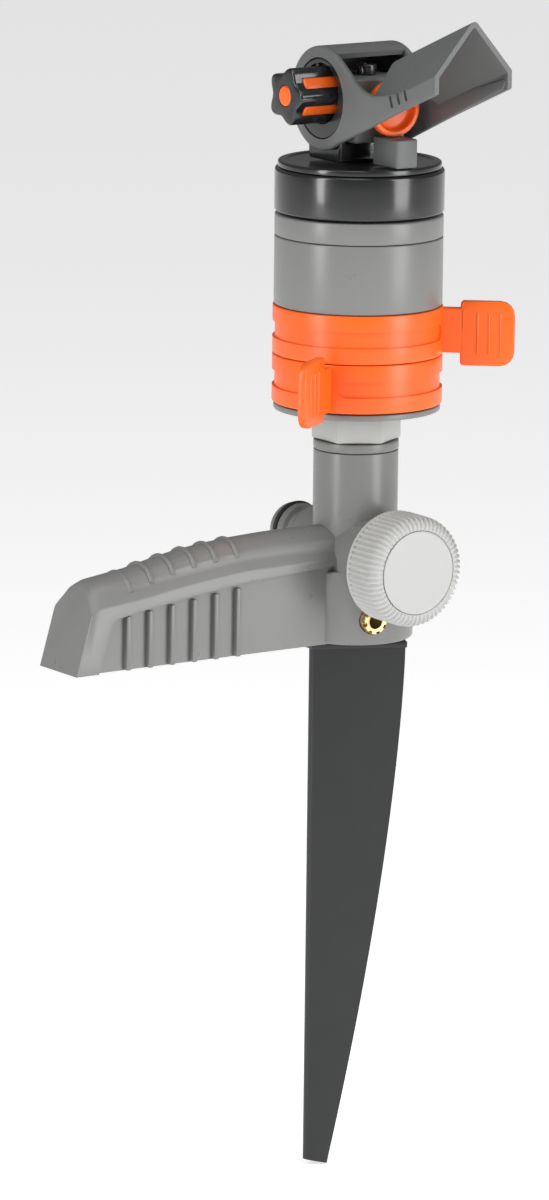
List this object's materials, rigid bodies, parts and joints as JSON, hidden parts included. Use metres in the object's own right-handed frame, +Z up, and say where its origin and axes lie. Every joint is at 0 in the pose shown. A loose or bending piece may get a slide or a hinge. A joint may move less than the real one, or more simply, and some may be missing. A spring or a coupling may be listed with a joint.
{
  "type": "lawn sprinkler",
  "caption": "Part-circle lawn sprinkler on a ground spike, with a side foot, a hose plug, a flow knob, arc rings with thumb tabs and a tilting jet deflector.",
  "frame": {"origin": "on the vertical turning axis, level with the underside of the base, where the ground surface is", "axes": "+Z up along the turning axis; the jet leaves towards -Y at rest; the foot arm points to -X and the hose plug to +Y"},
  "size_m": [0.1928, 0.1231, 0.478],
  "materials": {
    "body_grey": "satin moulded plastic",
    "head_grey": "satin moulded plastic",
    "pale_grey": "satin moulded plastic",
    "fitting_grey": "satin moulded plastic",
    "gloss_black": "glossy moulded plastic",
    "spike_black": "satin moulded plastic",
    "orange": "semi-gloss moulded plastic",
    "black_rubber": "smooth",
    "brass": "turned",
    "steel": "turned",
    "white_plastic": "natural acetal"
  },
  "bodies": {
    "base": {"spike": "spike_black", "base_body": "body_grey", "brass_insert": "brass", "valve_gland": "fitting_grey", "inlet_connector": "body_grey", "inlet_o_ring": "black_rubber", "inlet_filter": "white_plastic", "riser_collar": "body_grey", "hex_fitting": "fitting_grey", "fitting_washer": "black_rubber", "bottom_plate": "body_grey", "housing": "body_grey", "housing_top_ring": "body_grey", "output_bush": "white_plastic", "output_seal": "black_rubber", "stator": "white_plastic", "gear_plate_lower": "white_plastic", "gear_plate_upper": "white_plastic", "gear_arbor": "steel", "lever_pin": "steel", "trip_spring": "steel"},
    "valve": {"valve_plug": "white_plastic", "valve_stem": "steel", "stem_o_ring": "black_rubber", "valve_knob": "pale_grey", "knob_cap": "pale_grey", "knob_screw": "steel"},
    "upper_ring": {"upper_ring": "orange"},
    "lower_ring": {"lower_ring": "orange"},
    "turbine": {"turbine_wheel": "white_plastic", "turbine_shaft": "steel", "turbine_pinion": "brass"},
    "first_gear": {"gear_a": "white_plastic"},
    "second_gear": {"gear_b": "white_plastic", "output_pinion": "brass"},
    "lever": {"reversing_lever": "orange"},
    "head": {"ring_gear": "white_plastic", "centre_tube": "white_plastic", "cap_band": "gloss_black", "cap_disc": "gloss_black", "head_bracket": "gloss_black", "nozzle_body": "head_grey", "bracket_pin": "gloss_black", "nozzle_insert": "orange", "riser_post": "head_grey"},
    "deflector": {"deflector": "head_grey"},
    "range_knob": {"knob_grip": "gloss_black", "knob_core": "orange", "knob_button": "orange", "range_shaft": "steel"}
  },
  "joints": [
    {"name": "head_turn", "type": "hinge", "parent": "base", "child": "head", "pos_m": [0, 0, 0.18], "axis": [0, 0, 1], "continuous": true},
    {"name": "deflector_tilt", "type": "hinge", "parent": "head", "child": "deflector", "pos_m": [0, 0.002, 0.2201], "axis": [1, 0, 0], "range_deg": [-10, 18]},
    {"name": "range_knob_turn", "type": "hinge", "parent": "head", "child": "range_knob", "pos_m": [0, 0.002, 0.2221], "axis": [1, 0, 0], "range_deg": [-40, 72]},
    {"name": "valve_turn", "type": "hinge", "parent": "base", "child": "valve", "pos_m": [0, -0.03, 0.033], "axis": [0, 1, 0], "range_deg": [0, 90]},
    {"name": "upper_ring_turn", "type": "hinge", "parent": "base", "child": "upper_ring", "pos_m": [0, 0, 0.126], "axis": [0, 0, 1], "range_deg": [-40, 110]},
    {"name": "lower_ring_turn", "type": "hinge", "parent": "base", "child": "lower_ring", "pos_m": [0, 0, 0.106], "axis": [0, 0, 1], "range_deg": [-115, 40]},
    {"name": "second_gear_spin", "type": "hinge", "parent": "base", "child": "second_gear", "pos_m": [0.0075, 0.01299, 0.115], "axis": [0, 0, 1], "continuous": true},
    {"name": "first_gear_spin", "type": "hinge", "parent": "base", "child": "first_gear", "pos_m": [0.015, 0, 0.112], "axis": [0, 0, 1], "continuous": true},
    {"name": "turbine_spin", "type": "hinge", "parent": "base", "child": "turbine", "pos_m": [0, 0, 0.105], "axis": [0, 0, 1], "continuous": true},
    {"name": "lever_rock", "type": "hinge", "parent": "base", "child": "lever", "pos_m": [-0.016, -0.007, 0.112], "axis": [0, 0, 1], "range_deg": [-12, 12]}
  ],
  "couplings": [
    {"joint": "range_knob_turn", "follows": "deflector_tilt", "ratio": 4},
    {"joint": "second_gear_spin", "follows": "head_turn", "ratio": 5},
    {"joint": "first_gear_spin", "follows": "head_turn", "ratio": -15},
    {"joint": "turbine_spin", "follows": "head_turn", "ratio": 45}
  ]
}
